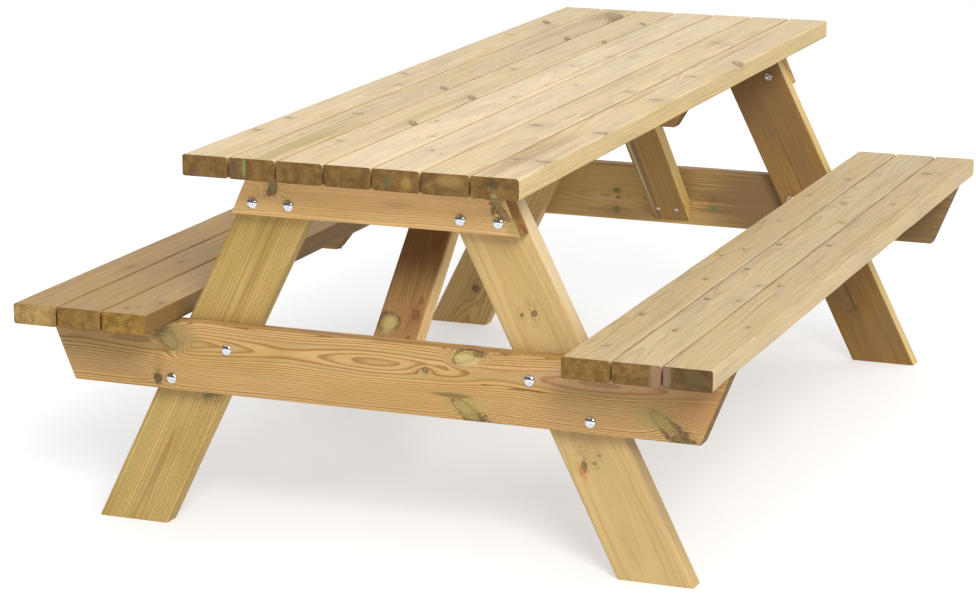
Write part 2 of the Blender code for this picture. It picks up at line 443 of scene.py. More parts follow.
def tinted(colour, tint):
    """Multiply a colour by a tint."""
    return tuple(channel * share for channel, share in zip(colour, tint))


def in_plank(shader, output, axes):
    """Return object coordinates or normals, turned into the plank's own frame."""
    source = shader.node("ShaderNodeTexCoord", output=output)
    parts = [shader.vector("DOT_PRODUCT", source, tuple(axis), output="Value") for axis in axes]
    return shader.node("ShaderNodeCombineXYZ", None, parts)


def fields(shader, grain, length, width, thickness, axes):
    """Return the plank's ring, fibre and knot patterns as signals."""
    place = in_plank(shader, "Object", axes)
    place = shader.scaled(place, 1000.0)
    apart = shader.node("ShaderNodeSeparateXYZ", None, (place,))
    along, across, depth = apart, apart.output("Y"), apart.output("Z")
    shifted = shader.vector("ADD", place, (grain.seed * 91.0, grain.seed * 37.0, grain.seed * 53.0))

    def stretched(x, y, detail=2.0, roughness=0.5):
        """Noise whose grains are x millimetres long and y millimetres across."""
        scaled = shader.vector("MULTIPLY", shifted, (1 / x, 1 / y, 1 / y))
        return shader.noise(scaled, 1.0, detail, roughness)

    bend = shader.noise_along(along / 420.0 + grain.seed, 1.0, "Color")
    bend = shader.node("ShaderNodeSeparateXYZ", None, (bend,))
    height, period, centre = grain.wave
    pith_across = (bend - 0.5) * grain.wander + grain.pith_across
    pith_depth = (bend.output("Y") - 0.5) * grain.wander + grain.pith_depth
    if height:
        turn = (along - (centre - length / 2)) * (2 * math.pi / period)
        pith_depth = pith_depth - turn.math("COSINE") * height
    beside = across - pith_across
    behind = depth - pith_depth
    squared = beside * beside + behind * behind
    radius = squared.math("SQRT")
    radius = radius + (stretched(170, 26, 2.0) - 0.5) * (2.0 * grain.wobble)

    ragged = (stretched(7, 2.6, 2.0, 0.6) - 0.5) * 1.1
    marks = {"inside": None, "rim": None, "flame": None, "green": None, "lines": None}

    def gather(name, value, operation="MAXIMUM"):
        previous = marks[name]
        marks[name] = value if previous is None else previous.math(operation, value)

    for knot in grain.knots:
        point = Vector((knot.along - length / 2, knot.across - width / 2, -thickness / 2))
        if knot.inner:
            branch = -Vector(knot.inner)
        else:
            branch = point - Vector((point.x - 6.0, grain.pith_across, grain.pith_depth))
        direction = branch.normalized()
        span = max(branch.length, 20.0)
        offset = shader.vector("SUBTRACT", place, tuple(point))
        reach = shader.vector("DOT_PRODUCT", offset, tuple(direction), output="Value")
        aside = shader.vector("SUBTRACT", offset, shader.scaled(tuple(direction), reach))
        growth = reach * (knot.radius / span) + knot.radius
        size = growth.math("MAXIMUM", 0.5)
        ratio = shader.length(aside) / size + ragged
        flow = shader.length(shader.vector("MULTIPLY", aside, (0.36, 1.0, 1.0))) / size
        swell = (flow * -0.7).math("EXPONENT")
        buried = shader.step(reach, -span * 1.1, -span * 0.7)
        radius = radius + swell * buried * (knot.radius * 1.7)
        inside = shader.step(ratio, 1.15, 0.75) * buried
        gather("inside", inside)
        gather("rim", shader.step(abs(ratio - 1.0), 0.35, 0.03) * buried)
        gather("flame", shader.step(flow, 3.6, 0.5) * buried)
        gather("lines", (ratio * (knot.radius * 2.2)).math("SINE") * inside, "ADD")
        if knot.green:
            gather("green", inside * knot.green)

    count = radius / grain.ring_width
    count = count + (shader.noise_along(count / 7.0 + grain.seed, 1.0) - 0.5) * 2.2
    part = count.math("FRACT")
    whole = count.math("FLOOR")
    tone = shader.node("ShaderNodeTexWhiteNoise", {"noise_dimensions": "1D"}, {"W": whole + grain.seed})
    rising = shader.step(part, 0.25, 0.88)
    falling = shader.step(part, 1.0, 0.92)
    late = rising * rising * falling * (tone * 0.55 + 0.45)
    return {
        "place": place, "along": along, "across": across, "depth": depth, "stretched": stretched,
        "late": late, "tone": tone, **marks,
    }


def softwood(name, grain, size, axes):
    """Make the wood of one plank, sawn as its grain says."""
    colours = bpy.context.scene.wood_colours
    length, width, thickness = (side / MM for side in size)
    material = bpy.data.materials.new(name)
    shader = Shader(material)
    part = fields(shader, grain, length, width, thickness, axes)
    stretched = part["stretched"]
    late = part["late"]

    fibres = stretched(38, 0.9, 2.0, 0.6)
    streaks = stretched(240, 6.5, 3.0, 0.6)
    blotches = stretched(260, 46, 2.0, 0.5)
    pores = stretched(9, 0.45, 1.0)

    early = tinted(colours.early, grain.tint)
    dark = tinted(colours.late, grain.tint)
    heart = tinted(colours.heart, grain.tint)
    treated = tinted(colours.treated, grain.tint)

    greening = shader.step(blotches, 0.42, 0.72) * grain.treated
    base = shader.mix(greening, early, treated)
    warmth = shader.step(streaks, 0.5, 0.8) * (0.45 * grain.blotches)
    base = shader.mix(warmth, base, heart)
    colour = shader.mix(late * grain.contrast, base, dark)
    fine = (fibres - 0.5) * 0.36 + (pores - 0.5) * 0.14
    broad = (streaks - 0.5) * (0.55 * grain.blotches) + (blotches - 0.5) * (0.4 * grain.blotches)
    shade = fine + broad + (part["tone"] - 0.5) * (0.16 * grain.contrast) + 1.0
    colour = shader.scaled(colour, shade)

    if part["inside"]:
        torn = stretched(7, 2.2, 2.0, 0.6)
        curl = shader.step(torn, 0.44, 0.66) * part["flame"]
        colour = shader.mix(curl * 0.5, colour, colours.knot)
        knot_colour = colours.knot
        if part["green"]:
            knot_colour = shader.mix(part["green"], colours.knot, colours.green_knot)
        ringed = part["lines"] * 0.3 + (torn - 0.5) * 1.1 + 1.0
        inner = shader.scaled(knot_colour, ringed)
        colour = shader.mix(part["inside"] * grain.knot_strength, colour, inner)
        rim = part["rim"] * shader.step(torn, 0.3, 0.6, 0.35, 1.0)
        colour = shader.mix(rim * grain.knot_strength, colour, tinted(colours.knot, (0.4, 0.4, 0.4)))

    def patched(colour, patches, ragged):
        """Lay patches with ragged edges over a colour."""
        for patch in patches:
            centre = (patch.along - length / 2, patch.across - width / 2, patch.depth - thickness / 2)
            away = shader.vector("SUBTRACT", part["place"], centre)
            away = shader.length(shader.vector("DIVIDE", away, patch.reach)) + ragged
            colour = shader.mix(shader.step(away, 1.15, 0.35) * patch.strength, colour, patch.colour)
        return colour

    if grain.patches:
        colour = patched(colour, grain.patches, (streaks - 0.5) * 1.1)

    gap = None
    for check in grain.checks:
        wavy = (stretched(40, 60, 1.0) - 0.5) * 5.0
        sideways = abs(part["across"] - (check.across - width / 2) + wavy)
        lengthways = abs(part["along"] - (check.along - length / 2)) / (check.length / 2)
        opening = shader.step(lengthways, 1.0, 0.4) * check.width
        line = shader.step(sideways - opening, 0.5, 0.0) * shader.step(lengthways, 1.0, 0.9)
        line = line * shader.step(part["depth"], 0.0, -8.0)
        gap = line if gap is None else gap.math("MAXIMUM", line)
    if gap:
        colour = shader.mix(gap * 0.8, colour, CRACK_COLOUR)

    facing = in_plank(shader, "Normal", axes)
    facing = shader.node("ShaderNodeSeparateXYZ", None, (facing,))
    sawn = shader.step(abs(facing), 0.5, 0.66)
    coarse = stretched(14, 9, 3.0, 0.6)
    soaked = stretched(60, 17, 2.0, 0.5)
    end_base = tinted(colours.sawn_end, grain.end_tint)
    end_early = shader.mix(shader.step(soaked, 0.35, 0.65), end_base, tinted(end_base, SOAKED_TINT))
    end_colour = shader.mix(late * 0.62, end_early, tinted(end_base, END_RING_TINT))
    end_colour = shader.scaled(end_colour, (coarse - 0.5) * 0.9 + (pores - 0.5) * 0.5 + 1.0)
    if grain.end_patches:
        end_colour = patched(end_colour, grain.end_patches, (coarse - 0.5) * 0.8)
    # Painted light and shade: the sides are multiplied by the grain's painted side light.
    beside = shader.step(abs(facing.output("Y")), 0.6, 0.9)
    colour = shader.mix(beside, colour, shader.mix(1.0, colour, grain.side_tint, "MULTIPLY"))
    colour = shader.mix(sawn, colour, end_colour)
    # Painted shade: undersides, and the sides of a gap more the deeper they lie, are darkened towards
    # the painted gap shade colour.
    painted_shade_mask = shader.step(facing.output("Z"), 0.3, 0.8)
    for side in grain.shaded_sides:
        shaded = shader.step(facing.output("Y") * side, 0.3, 0.8)
        gap_depth_shade = shader.step(part["depth"] + thickness / 2, 2.0, 22.0, 0.3, 1.9)
        painted_shade_mask = painted_shade_mask.math("MAXIMUM", shaded * gap_depth_shade)
    shaded_colour = shader.mix(1.0, colour, colours.painted_gap_shade, "MULTIPLY")
    shader.set("Base Color", shader.mix(painted_shade_mask * grain.shade, colour, shaded_colour))

    roughness = 0.62 - late * 0.08 + (fibres - 0.5) * 0.14 + sawn * 0.16
    if part["inside"]:
        roughness = roughness - part["inside"] * 0.12
    shader.set("Roughness", roughness)
    shader.set("Specular IOR Level", 0.35)

    saw_marks = (part["depth"] * 1.9 + part["across"] * 0.35).math("SINE")
    relief = fibres * 0.5 + late * 0.35 + streaks * 0.5 + saw_marks * sawn * 0.35 + coarse * sawn
    if part["inside"]:
        relief = relief + part["inside"] * 0.9 - part["rim"] * 1.2 + torn * part["flame"] * 3.0
    if gap:
        relief = relief - gap * 3.0
    shader.bump(relief, 0.55, 0.6 * MM)
    return material


# ---------------------------------------------------------------------------
# Meshes
# ---------------------------------------------------------------------------

def add_rings(shape, rings, steps):
    """Add a loop of vertices round Y for each ring (distance, size, corners).

    Without corners the size is a radius; with corners it is measured across the flats.
    """
    loops = []
    for distance, size, corners in rings:
        loop = []
        for step in range(steps):
            angle = 2 * math.pi * step / steps
            reach = size
            if corners:
                sector = 2 * math.pi / corners
                reach = size / 2 / math.cos((angle % sector) - sector / 2)
            loop.append(shape.verts.new((reach * math.cos(angle), distance, reach * math.sin(angle))))
        loops.append(loop)
    return loops


def skin(shape, loops, closed=False):
    """Cover the loops with faces: a closed band, or a body with a face on each end."""
    pairs = list(zip(loops, loops[1:]))
    if closed:
        pairs.append((loops[-1], loops[0]))
    total = len(loops[0])
    for lower, upper in pairs:
        for index in range(total):
            following = (index + 1) % total
            shape.faces.new((lower[index], lower[following], upper[following], upper[index]))
    if not closed:
        shape.faces.new(loops[0])
        shape.faces.new(loops[-1])


def finished(name, shape, sharp_angle, turn=Matrix.Identity(4)):
    """Turn a bmesh into a smooth mesh with its faces outward."""
    bmesh.ops.recalc_face_normals(shape, faces=shape.faces[:])
    for face in shape.faces:
        face.smooth = True
    shape.transform(turn)
    mesh = bpy.data.meshes.new(name)
    shape.to_mesh(mesh)
    shape.free()
    mesh.set_sharp_from_angle(angle=math.radians(sharp_angle))
    return mesh


# ---------------------------------------------------------------------------
# Planks
# ---------------------------------------------------------------------------

def section_points(width, thickness, radius):
    """Return a plank's cross-section: round arrises, and points along its flats."""
    arc_steps = 5
    support = 1.4 * MM
    corners = ((1, 1), (-1, 1), (-1, -1), (1, -1))
    points = []
    for quarter, (side, rise) in enumerate(corners):
        middle = (side * (width / 2 - radius), rise * (thickness / 2 - radius))
        for step in range(arc_steps + 1):
            angle = math.radians(90 * (quarter + step / arc_steps))
            points.append((middle[0] + radius * math.cos(angle), middle[1] + radius * math.sin(angle)))
        following = corners[(quarter + 1) % 4]
        target = (following[0] * (width / 2 - radius), following[1] * (thickness / 2 - radius))
        last = points[-1]
        wide = quarter % 2 == 0
        run = (width if wide else thickness) - 2 * radius
        inner_steps = 4 if wide else 2
        shares = [support / run]
        shares += [step / inner_steps for step in range(1, inner_steps)]
        shares += [1 - support / run]
        for share in shares:
            if wide:
                points.append((last[0] + (target[0] - middle[0]) * share, last[1]))
            else:
                points.append((last[0], last[1] + (target[1] - middle[1]) * share))
    return points


def plank(node, centre, along, across, width, thickness, cuts, grain):
    """Build a plank in its own frame, X along the grain, and stand it in its place.

    Each of the two cuts is a point on the saw plane and the plane's normal.
    """
    sizes = bpy.context.scene.timber_sizes
    out = along.cross(across)
    (start_point, start_normal), (end_point, end_normal) = cuts
    outline = section_points(width, thickness, sizes.arris)

    def reach(point, normal, y, z):
        base = centre + across * y + out * z
        return (point - base).dot(normal) / along.dot(normal)

    length = reach(end_point, end_normal, 0, 0) - reach(start_point, start_normal, 0, 0)
    count = max(int(length / sizes.station_spacing), 3)
    small = sizes.saw_arris
    shape = bmesh.new()
    rings = []
    stations = [(0.0, 0.0, small), (0.0, small, 0.0)]
    stations += [(step / count, 0.0, 0.0) for step in range(1, count)]
    stations += [(1.0, -small, 0.0), (1.0, 0.0, small)]
    for share, push, inset in stations:
        ring = []
        for y, z in outline:
            distance = share * length
            near = sizes.arris * 0.9
            at_arris = width / 2 - abs(y) < near and thickness / 2 - abs(z) < near
            wear = noise.noise(Vector((distance * 9 + grain.seed, y * 14, z * 30)))
            pull = inset + max(wear, 0.0) * sizes.wear * at_arris
            hollow = (noise.noise(Vector((distance * 2.5, grain.seed, z * 20))) + 1) * sizes.unevenness
            y -= math.copysign(pull, y)
            z -= math.copysign(pull + hollow, z)
            first = reach(start_point, start_normal, y, z)
            last = reach(end_point, end_normal, y, z)
            ring.append(shape.verts.new((first + (last - first) * share + push, y, z)))
        rings.append(ring)
    skin(shape, rings)
    axes = (along, across, out)
    name = f"{node}_timber"
    mesh = finished(name, shape, 40, Matrix(axes).transposed().to_4x4())
    mesh.materials.append(softwood(f"{node}_wood", grain, (length, width, thickness), axes))
    piece = bpy.data.objects.new(name, mesh)
    bpy.context.scene.collection.objects.link(piece)
    piece.matrix_world = Matrix.Translation(centre)
    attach(piece, "root")
    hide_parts(node)


def box_of(node):
    """Return a node's lowest and highest corners as vectors."""
    low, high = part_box(node)
    return Vector(low), Vector(high)


def board(node, grain):
    """Build a flat board of the table top or a bench, starting at the front end."""
    low, high = box_of(node)
    centre = (low + high) / 2
    cuts = ((Vector((0, low.y, 0)), Y_AXIS), (Vector((0, high.y, 0)), Y_AXIS))
    plank(node, centre, Y_AXIS, X_AXIS, high.x - low.x, high.z - low.z, cuts, grain)


def beam(node, slant, longer_at_top, grain):
    """Build a beam on edge along X, its ends cut at a slant, starting at the left end."""
    low, high = box_of(node)
    centre = (low + high) / 2
    lean = slant / (high.z - low.z) * (1 if longer_at_top else -1)
    level = high.z if longer_at_top else low.z
    cuts = (
        (Vector((low.x, centre.y, level)), Vector((1, 0, lean))),
        (Vector((high.x, centre.y, level)), Vector((1, 0, -lean))),
    )
    plank(node, centre, X_AXIS, -Z_AXIS, high.z - low.z, high.y - low.y, cuts, grain)


def leg(node, side, grain):
    """Build a slanting leg, starting at its foot."""
    low, high = box_of(node)
    width = bpy.context.scene.timber_sizes.leg_width
    run, rise = high.x - low.x, high.z - low.z
    lean = math.acos(width / math.hypot(run, rise)) - math.atan2(rise, run)
    along = Vector((-side * math.sin(lean), 0, math.cos(lean)))
    across = Vector((math.cos(lean), 0, side * math.sin(lean)))
    centre = (low + high) / 2
    cuts = ((Vector((0, 0, low.z)), Z_AXIS), (Vector((0, 0, high.z)), Z_AXIS))
    plank(node, centre, along, across, width, high.y - low.y, cuts, grain)


def brace_line(node, end_side):
    """Return the middle of a brace's foot, its direction and the normal of its upper face."""
    low, high = box_of(node)
    rise, run = high.z - low.z, high.y - low.y
    foot = Vector(((low.x + high.x) / 2, low.y if end_side < 0 else high.y, low.z))
    along = Vector((0, -end_side * run, rise)).normalized()
    upward = Vector((0, end_side * rise, run)).normalized()
    return foot, along, upward


def brace(node, end_side, grain):
    """Build a brace that rises from its foot on a seat bearer to the table-top boards."""
    low, high = box_of(node)
    foot, along, upward = brace_line(node, end_side)
    middle = foot + along * math.hypot(high.z - low.z, high.y - low.y) / 2
    centre = middle + upward * PLANK_THICKNESS / 2
    cuts = ((foot, Y_AXIS), (Vector((0, 0, high.z)), Z_AXIS))
    plank(node, centre, along, X_AXIS, high.x - low.x, PLANK_THICKNESS, cuts, grain)


# ---------------------------------------------------------------------------
# Fasteners
# ---------------------------------------------------------------------------

def zinc(name, dull):
    """Make zinc plating, with a faint blue-grey mottle."""
    colours = bpy.context.scene.metal_colours
    material = bpy.data.materials.new(name)
    shader = Shader(material)
    place = shader.node("ShaderNodeTexCoord", output="Object")
    mottle = shader.noise(place, 260.0, 3.0, 0.6)
    fine = shader.noise(place, 1900.0, 2.0)
    amount = shader.step(mottle, 0.42, 0.62) * (0.55 + dull * 0.4)
    shader.set("Base Color", shader.mix(amount, colours.zinc, colours.dull_zinc))
    shader.set("Metallic", 1.0)
    shader.set("Roughness", 0.06 + dull * 0.25 + mottle * 0.08)
    shader.bump(mottle + fine * 0.4, 0.25, 0.1 * MM)
    return material


def turned_mesh(name, rings, closed, steps):
    """Join rings along Y into a body."""
    shape = bmesh.new()
    skin(shape, add_rings(shape, rings, steps), closed)
    return finished(name, shape, 35)


def bolt_mesh(low, high, head_radius):
    """Build a carriage bolt along Y, dome at -Y, with a cut thread at its tip."""
    sizes = bpy.context.scene.fastener_sizes
    steps = sizes.round_steps
    seat = low + sizes.head_height
    dome = sizes.head_height - HEAD_LIP
    rings = []
    for step in range(DOME_STEPS, 0, -1):
        angle = math.radians(90 * (step - 0.35) / DOME_STEPS)
        rings.append((seat - HEAD_LIP - dome * math.sin(angle), head_radius * math.cos(angle), 0))
    thread_start = high - THREAD_LENGTH
    rings += [
        (seat - HEAD_LIP, head_radius, 0), (seat - HEAD_LIP * 0.35, head_radius, 0),
        (seat, head_radius - 0.4 * MM, 0), (seat, NECK_SIZE, 4), (seat + 4.6 * MM, NECK_SIZE, 4),
        (seat + 5.4 * MM, SHANK_RADIUS, 0), (thread_start, SHANK_RADIUS, 0),
    ]
    shape = bmesh.new()
    loops = add_rings(shape, rings, steps)
    turns = (high - thread_start - 1.2 * MM) / sizes.thread_pitch
    for row in range(1, int(turns * THREAD_ROWS) + 1):
        loop = []
        for step in range(steps):
            angle = 2 * math.pi * step / steps
            phase = (row / THREAD_ROWS + step / steps) % 1.0
            depth = sizes.thread_depth * abs(2 * phase - 1) * min(row / THREAD_ROWS, 1.0)
            reach = SHANK_RADIUS - depth
            y = thread_start + row / THREAD_ROWS * sizes.thread_pitch
            loop.append(shape.verts.new((reach * math.cos(angle), y, reach * math.sin(angle))))
        loops.append(loop)
    tip = ((high - 0.2 * MM, SHANK_RADIUS - sizes.thread_depth, 0), (high, SHANK_RADIUS - 1.6 * MM, 0))
    loops += add_rings(shape, tip, steps)
    skin(shape, loops)
    return finished("carriage_bolt", shape, 30)


def screw_mesh():
    """Build a countersunk screw along Y, its head at -Y, with a hexagonal recess."""
    sizes = bpy.context.scene.fastener_sizes
    head = sizes.screw_head
    rings = [
        (1.6 * MM, 3.2 * MM, 6), (-0.25 * MM, 3.6 * MM, 6),
        (-0.3 * MM, head * 0.55, 0), (-0.18 * MM, head * 0.9, 0), (0.1 * MM, head, 0),
        (3.2 * MM, 2.2 * MM, 0), (30 * MM, 2.0 * MM, 0), (35 * MM, 0.2 * MM, 0),
    ]
    return turned_mesh("countersunk_screw", rings, False, sizes.round_steps)


def place_fastener(name, mesh, point, outward, node, material):
    """Stand a fastener at a point, its -Y side facing outward."""
    piece = bpy.data.objects.new(name, mesh)
    bpy.context.scene.collection.objects.link(piece)
    turn = outward.to_track_quat("-Y", "X").to_matrix().to_4x4()
    piece.matrix_world = Matrix.Translation(point) @ turn
    if not mesh.materials:
        mesh.materials.append(material)
    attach(piece, "root")
    if node:
        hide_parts(node)


# ---------------------------------------------------------------------------
# How each plank was sawn
# ---------------------------------------------------------------------------

OLIVE = (0.37, 0.285, 0.09)
GREEN = (0.33, 0.27, 0.085)
PALE_GREEN = (0.58, 0.47, 0.19)
BROWN = (0.34, 0.19, 0.075)
UMBER = (0.10, 0.055, 0.022)
PINK = (0.56, 0.32, 0.24)
MOSS = (0.14, 0.17, 0.05)

# Inner ends of branches that the saw met at a slant, so that they show as streaks.
SLANT = (34, -20, 13)
STEEP = (5, -28, 16)


def top_grain(seed, **changes):
    """Return the grain of a table-top board, its sides dark in the gaps as painted shade."""
    # The side tint darkens the board's sides against its top: painted light, standing in for the sheen
    # on the top.
    settings = {
        "shaded_sides": (-1, 1), "knot_strength": 0.66, "blotches": 1.3,
        "side_tint": (0.90, 0.87, 0.69), "tint": (0.97, 0.965, 0.96),
    }
    settings.update(changes)
    return Grain(seed, **settings)


TOP_GRAINS = (
    top_grain(
        11, pith_across=20, pith_depth=60, contrast=0.26, shaded_sides=(1,),
        knots=(
            Knot(256, 18, 3.5, 0.2, STEEP), Knot(388, 20, 3.5, 0.0, STEEP),
            Knot(800, 66, 3, 0.0, STEEP), Knot(925, 23, 3.5, 0.1, STEEP), Knot(1488, 30, 3, 0.0, STEEP),
            Knot(1700, 38, 6, 0.2, SLANT),
        ),
        patches=(Patch(1100, 44, (600, 3, 20), BROWN, 0.22),),
        end_patches=(Patch(0, 26, (8, 10, 8), (0.12, 0.05, 0.04), 0.5, 30),),
    ),
    top_grain(
        12, pith_across=-40, pith_depth=30, contrast=0.42, treated=0.5,
        knots=(
            Knot(475, 30, 4.5, 0.3, STEEP), Knot(800, 70, 5.5, 0.5, SLANT),
            Knot(1490, 76, 6, 0.4, SLANT), Knot(1862, 50, 11, 0.2, SLANT),
        ),
        patches=(
            Patch(160, 62, (320, 24, 20), OLIVE, 0.6), Patch(330, 40, (250, 1.6, 20), BROWN, 0.7),
            Patch(1010, 47, (90, 1.5, 20), BROWN, 0.7),
            Patch(1840, 45, (140, 34, 20), (0.38, 0.26, 0.10), 0.55),
            Patch(1560, 30, (300, 14, 20), BROWN, 0.25),
        ),
        end_patches=(
            Patch(0, 29, (8, 4, 24), (0.16, 0.24, 0.08), 0.8, 14),
            Patch(0, 10, (8, 14, 24), (0.09, 0.055, 0.03), 0.6, 20),
        ),
    ),
    top_grain(
        13, pith_across=-42, pith_depth=34, contrast=0.36, treated=0.35,
        knots=(
            Knot(428, 72, 6, 0.6, SLANT), Knot(722, 70, 6, 0.6, SLANT), Knot(1468, 79, 5, 0.4, SLANT),
            Knot(1748, 72, 5, 0.5, SLANT), Knot(1056, 30, 3, 0.0, STEEP), Knot(212, 24, 3, 0.0, STEEP),
        ),
        patches=(
            Patch(140, 30, (100, 2, 20), BROWN, 0.6), Patch(580, 60, (460, 16, 20), OLIVE, 0.32),
            Patch(1300, 78, (500, 5, 20), BROWN, 0.25),
        ),
    ),
    top_grain(
        14, pith_across=8, pith_depth=85, contrast=0.22, treated=0.08, tint=(1.02, 1.03, 1.08),
        knots=(
            Knot(452, 20, 3.5, 0.0), Knot(746, 61, 4, 0.0), Knot(1137, 37, 3.5, 0.0),
            Knot(310, 73, 3.5, 0.0), Knot(1269, 71, 4.5, 0.0), Knot(897, 70, 2.5, 0.0),
        ),
        patches=(Patch(1150, 72, (420, 4, 20), BROWN, 0.3),),
    ),
    top_grain(
        15, pith_across=-10, pith_depth=90, contrast=0.22, treated=0.12, tint=(1.0, 1.01, 1.05),
        knots=(
            Knot(185, 33, 4, 0.0), Knot(706, 36, 3, 0.0), Knot(1287, 25, 4, 0.0), Knot(919, 33, 3, 0.0),
            Knot(160, 62, 2.5, 0.0), Knot(1500, 60, 3, 0.1),
        ),
        patches=(Patch(400, 70, (350, 5, 20), BROWN, 0.22),),
        end_patches=(
            Patch(0, 62, (8, 12, 14), (0.33, 0.21, 0.05), 0.6, 22),
            Patch(0, 28, (8, 12, 14), (0.10, 0.10, 0.04), 0.6, 22),
        ),
    ),
    top_grain(
        16, pith_across=30, pith_depth=55, contrast=0.3, treated=0.3,
        knots=(
            Knot(478, 24, 5, 0.1, STEEP), Knot(1537, 36, 4, 0.4, STEEP), Knot(880, 66, 3, 0.1, STEEP),
        ),
        patches=(
            Patch(281, 50, (75, 1.6, 14), UMBER, 0.75), Patch(590, 55, (40, 1.5, 14), UMBER, 0.7),
            Patch(1537, 40, (90, 16, 20), OLIVE, 0.3), Patch(1000, 20, (260, 16, 20), OLIVE, 0.3),
        ),
        end_patches=(Patch(0, 50, (8, 30, 14), (0.34, 0.22, 0.06), 0.5, 12),),
    ),
    top_grain(
        17, pith_across=-38, pith_depth=60, contrast=0.36, treated=0.35, shaded_sides=(-1,),
        knots=(
            Knot(158, 66, 6, 0.8, STEEP), Knot(446, 70, 6, 0.8, STEEP), Knot(812, 52, 5, 0.4, STEEP),
            Knot(1097, 34, 4, 0.2, STEEP), Knot(1297, 68, 7, 0.8, SLANT), Knot(165, 14, 4, 0.2, STEEP),
        ),
        patches=(
            Patch(230, 24, (280, 34, 20), BROWN, 0.46), Patch(258, 5, (80, 2, 12), UMBER, 0.6),
            Patch(1500, 22, (240, 14, 20), BROWN, 0.3), Patch(760, 20, (160, 12, 20), BROWN, 0.22),
        ),
        end_patches=(
            Patch(0, 40, (8, 16, 12), (0.045, 0.032, 0.014), 0.75, 12),
            Patch(0, 42, (8, 7, 5), (0.25, 0.25, 0.13), 0.6, 32),
        ),
    ),
)

def bench_grain(seed, number, **changes):
    """Return the grain of a bench board, its sides dark in the gaps as painted shade."""
    sides = {1: (1,), 2: (-1, 1), 3: (-1,)}
    settings = {
        "contrast": 0.34, "treated": 0.4, "shaded_sides": sides[number],
        "knot_strength": 0.78, "blotches": 1.5,
    }
    settings.update(changes)
    return Grain(seed, **settings)


BENCH_GRAINS = {
    "left": (
        # The left bench's darker tints and stronger shade are painted shade from the table top beside
        # it; board 3's side tint is painted side shade.
        bench_grain(
            21, 1, tint=(0.60, 0.485, 0.335), end_tint=(1.95, 2.3, 3.4), shade=0.95,
            knots=(Knot(330, 60, 4.5, 0.2), Knot(900, 40, 5, 0.2)),
        ),
        bench_grain(
            22, 2, tint=(0.60, 0.48, 0.325), end_tint=(1.29, 1.36, 1.2), shade=0.95,
            knots=(Knot(400, 40, 4.5, 0.1), Knot(720, 60, 4, 0.1)),
        ),
        bench_grain(
            23, 3, tint=(0.66, 0.54, 0.39), end_tint=(1.5, 1.58, 1.2), side_tint=(0.50, 0.46, 0.38),
            shade=0.95,
            knots=(
                Knot(38, 30, 4, 0.1), Knot(52, 48, 3, 0.0), Knot(95, 70, 4.5, 0.1),
                Knot(640, 30, 5, 0.2),
            ),
        ),
    ),
    "right": (
        # The right bench's tints, darker than the table top's, are partly painted shade from the table
        # top above.
        bench_grain(
            31, 1, tint=(0.83, 0.81, 0.755), end_tint=(1.15, 1.15, 1.0),
            knots=(
                Knot(327, 31, 4, 0.1), Knot(94, 48, 3, 0.0), Knot(625, 56, 4, 0.0),
                Knot(822, 25, 3.5, 0.0), Knot(887, 51, 3.5, 0.0), Knot(1169, 40, 3, 0.0),
                Knot(1434, 30, 3.5, 0.0), Knot(1631, 62, 4, 0.0),
            ),
            patches=(
                Patch(690, 48, (70, 1.6, 14), BROWN, 0.6), Patch(1200, 16, (500, 12, 14), BROWN, 0.2),
                Patch(250, 70, (260, 8, 14), BROWN, 0.25),
            ),
        ),
        bench_grain(
            32, 2, tint=(0.815, 0.815, 0.78), end_tint=(1.1, 1.1, 1.1),
            knots=(
                Knot(237, 32, 4, 0.0), Knot(475, 17, 5, 0.0), Knot(731, 14, 5, 0.0),
                Knot(956, 12, 5, 0.1), Knot(1375, 31, 4.5, 0.1), Knot(606, 75, 3, 0.0),
                Knot(1194, 74, 3.5, 0.0), Knot(1388, 22, 3, 0.0), Knot(481, 75, 3, 0.0),
            ),
            end_patches=(
                Patch(0, 87, (8, 6, 40), (0.24, 0.07, 0.06), 0.75, 20),
                Patch(0, 76, (8, 12, 40), (0.30, 0.21, 0.12), 0.5, 20),
            ),
            patches=(Patch(1500, 60, (300, 12, 14), BROWN, 0.2),),
        ),
        bench_grain(
            33, 3, tint=(0.79, 0.76, 0.68), end_tint=(0.66, 0.66, 0.66),
            knots=(
                Knot(981, 17, 4.5, 0.1), Knot(619, 21, 4, 0.0), Knot(1406, 37, 3.5, 0.0),
                Knot(1750, 23, 5, 0.0, STEEP), Knot(300, 56, 3, 0.0),
            ),
            patches=(
                Patch(468, 29, (160, 1.4, 14), BROWN, 0.6), Patch(1100, 60, (420, 12, 14), BROWN, 0.25),
            ),
            end_patches=(
                Patch(0, 0, (8, 6, 40), (0.24, 0.07, 0.06), 0.75, 20),
                Patch(0, 8, (8, 8, 40), (0.30, 0.22, 0.13), 0.4, 20),
                Patch(0, 52, (8, 26, 20), (0.06, 0.055, 0.02), 0.5, 16),
            ),
        ),
    ),
}

RAIL_GRAINS = {
    "front": Grain(
        41, pith_across=60, pith_depth=20, ring_width=3.2, contrast=0.62, end_tint=(1.7, 1.6, 1.5),
        tint=(1.02, 0.83, 0.56),
        knots=(
            Knot(56, 43, 4, 0.1), Knot(64, 33, 7, 0.4), Knot(479, 43, 4, 0.2), Knot(487, 30, 7, 0.5),
            Knot(500, 50, 6, 0.6, (30, 30, 14)),
        ),
        patches=(
            Patch(522, 66, (24, 26, 20), (0.30, 0.225, 0.07), 0.7),
            Patch(490, 30, (14, 16, 20), GREEN, 0.6), Patch(62, 32, (14, 12, 20), MOSS, 0.5),
            Patch(300, 46, (40, 8, 12), BROWN, 0.3),
        ),
    ),
    "back": Grain(
        42, pith_across=-55, pith_depth=25, ring_width=3.6, contrast=0.55, end_tint=(3.2, 3.6, 4.5),
        tint=(0.62, 0.50, 0.36),
    ),
}

